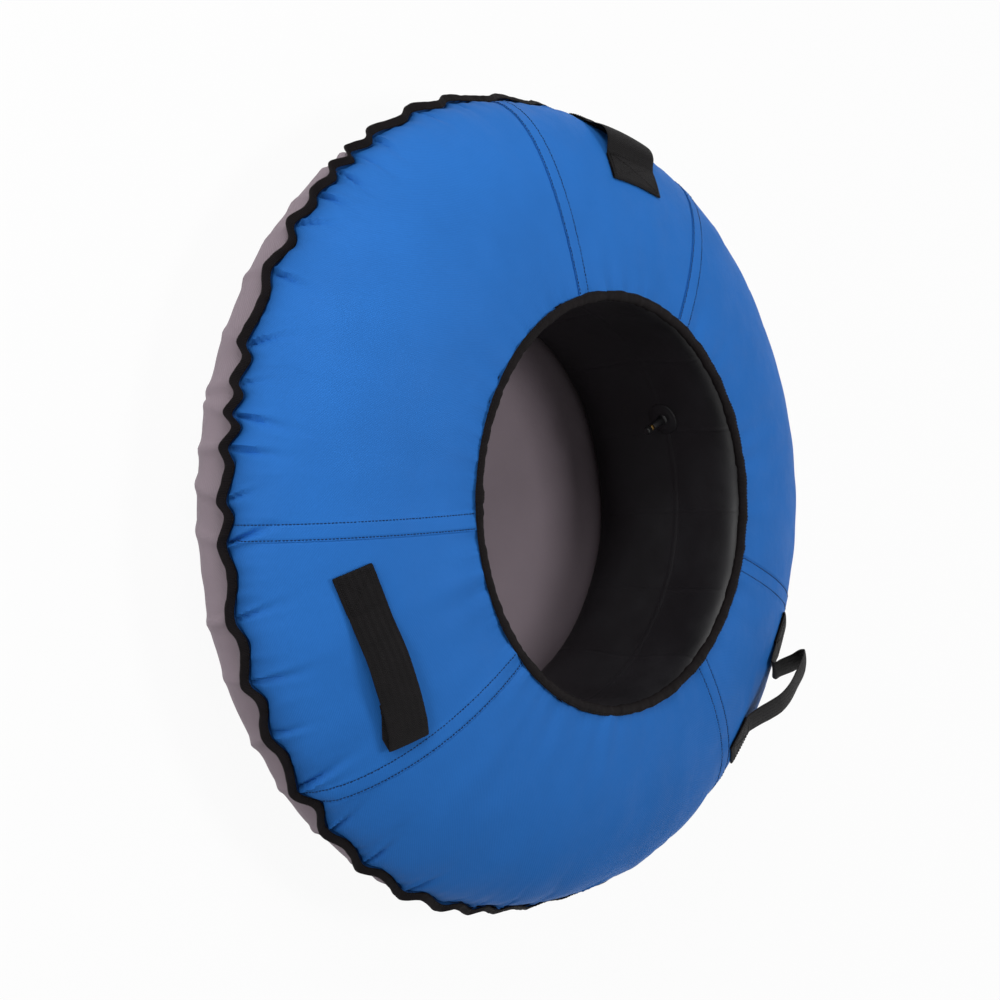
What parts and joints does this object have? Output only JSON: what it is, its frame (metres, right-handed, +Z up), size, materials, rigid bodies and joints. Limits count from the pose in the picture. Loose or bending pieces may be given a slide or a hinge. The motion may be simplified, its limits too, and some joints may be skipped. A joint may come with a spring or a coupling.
{
  "type": "snow tube",
  "caption": "Round inflated snow tube in a sewn cover with a scalloped bound seam, an open middle with an inner tube valve, and webbing handles on both sides and at the front.",
  "frame": {"origin": "centre of the flat underside of the base disc", "axes": "+Z up out of the open middle, -X towards the front strap, -Y towards the rider's left handle as the rider faces the front strap"},
  "size_m": [1.0229, 1.0236, 0.2574],
  "materials": {
    "cover_fabric_blue": "plain woven coated polyester, matt with a faint sheen",
    "base_fabric_grey": "coated slick woven polyester",
    "binding_tape_black": "folded woven tape, ribbed and matt",
    "webbing_black": "woven polypropylene webbing, matt",
    "tube_rubber_black": "moulded butyl rubber, satin",
    "elastic_white": "covered round elastic cord",
    "valve_brass": "turned brass",
    "cap_plastic_black": "moulded plastic, satin"
  },
  "bodies": {
    "cover": {"panel_right": "cover_fabric_blue", "panel_side_right": "cover_fabric_blue", "panel_front": "cover_fabric_blue", "panel_side_left": "cover_fabric_blue", "panel_left": "cover_fabric_blue", "panel_rear": "cover_fabric_blue", "seam_strip_1": "cover_fabric_blue", "seam_strip_2": "cover_fabric_blue", "seam_strip_3": "cover_fabric_blue", "seam_strip_4": "cover_fabric_blue", "seam_strip_5": "cover_fabric_blue", "seam_strip_6": "cover_fabric_blue", "base_disc": "base_fabric_grey", "rim_binding": "binding_tape_black", "hole_binding": "binding_tape_black", "hem_elastic": "elastic_white", "inner_tube": "tube_rubber_black", "valve_patch": "tube_rubber_black", "valve_sleeve": "tube_rubber_black", "valve_insert": "valve_brass", "valve_core": "valve_brass", "left_tab_front": "webbing_black", "left_tab_rear": "webbing_black", "right_tab_rear": "webbing_black", "right_tab_front": "webbing_black", "front_tab_inner": "webbing_black", "front_tab_outer": "webbing_black"},
    "left_loop": {"left_handle": "webbing_black"},
    "right_loop": {"right_handle": "webbing_black"},
    "front_loop": {"front_strap": "webbing_black"},
    "pin": {"valve_pin": "valve_brass"},
    "cap_slide": {"cap_seal": "tube_rubber_black"},
    "cap": {"valve_cap": "cap_plastic_black"}
  },
  "joints": [
    {"name": "left_handle_lift", "type": "hinge", "parent": "cover", "child": "left_loop", "pos_m": [0.12169, -0.38936, 0.21368], "axis": [0.2682, -0.8578, -0.4385], "range_deg": [0, 18], "stiffness_Nm_per_rad": 0.3},
    {"name": "right_handle_lift", "type": "hinge", "parent": "cover", "child": "right_loop", "pos_m": [0.27477, 0.30151, 0.21368], "axis": [0.6053, 0.6643, -0.4385], "range_deg": [0, 16], "stiffness_Nm_per_rad": 0.3},
    {"name": "front_strap_lift", "type": "hinge", "parent": "cover", "child": "front_loop", "pos_m": [-0.42114, 0.07691, 0.2027], "axis": [0.1797, 0.9837, 0], "range_deg": [0, 8], "stiffness_Nm_per_rad": 0.3},
    {"name": "pin_press", "type": "slide", "parent": "cover", "child": "pin", "axis": [-0.4434, 0.8963, 0], "range_m": [0, 0.0015], "stiffness_N_per_m": 500},
    {"name": "cap_lift", "type": "slide", "parent": "cover", "child": "cap_slide", "axis": [0.4434, -0.8963, 0], "range_m": [0, 0.0048]},
    {"name": "cap_turn", "type": "hinge", "parent": "cap_slide", "child": "cap", "pos_m": [-0.09768, 0.19746, 0.135], "axis": [0.4434, -0.8963, 0], "range_deg": [0, 2200]}
  ],
  "couplings": [
    {"joint": "cap_turn", "follows": "cap_lift", "rad_per_m": 7915.8}
  ]
}
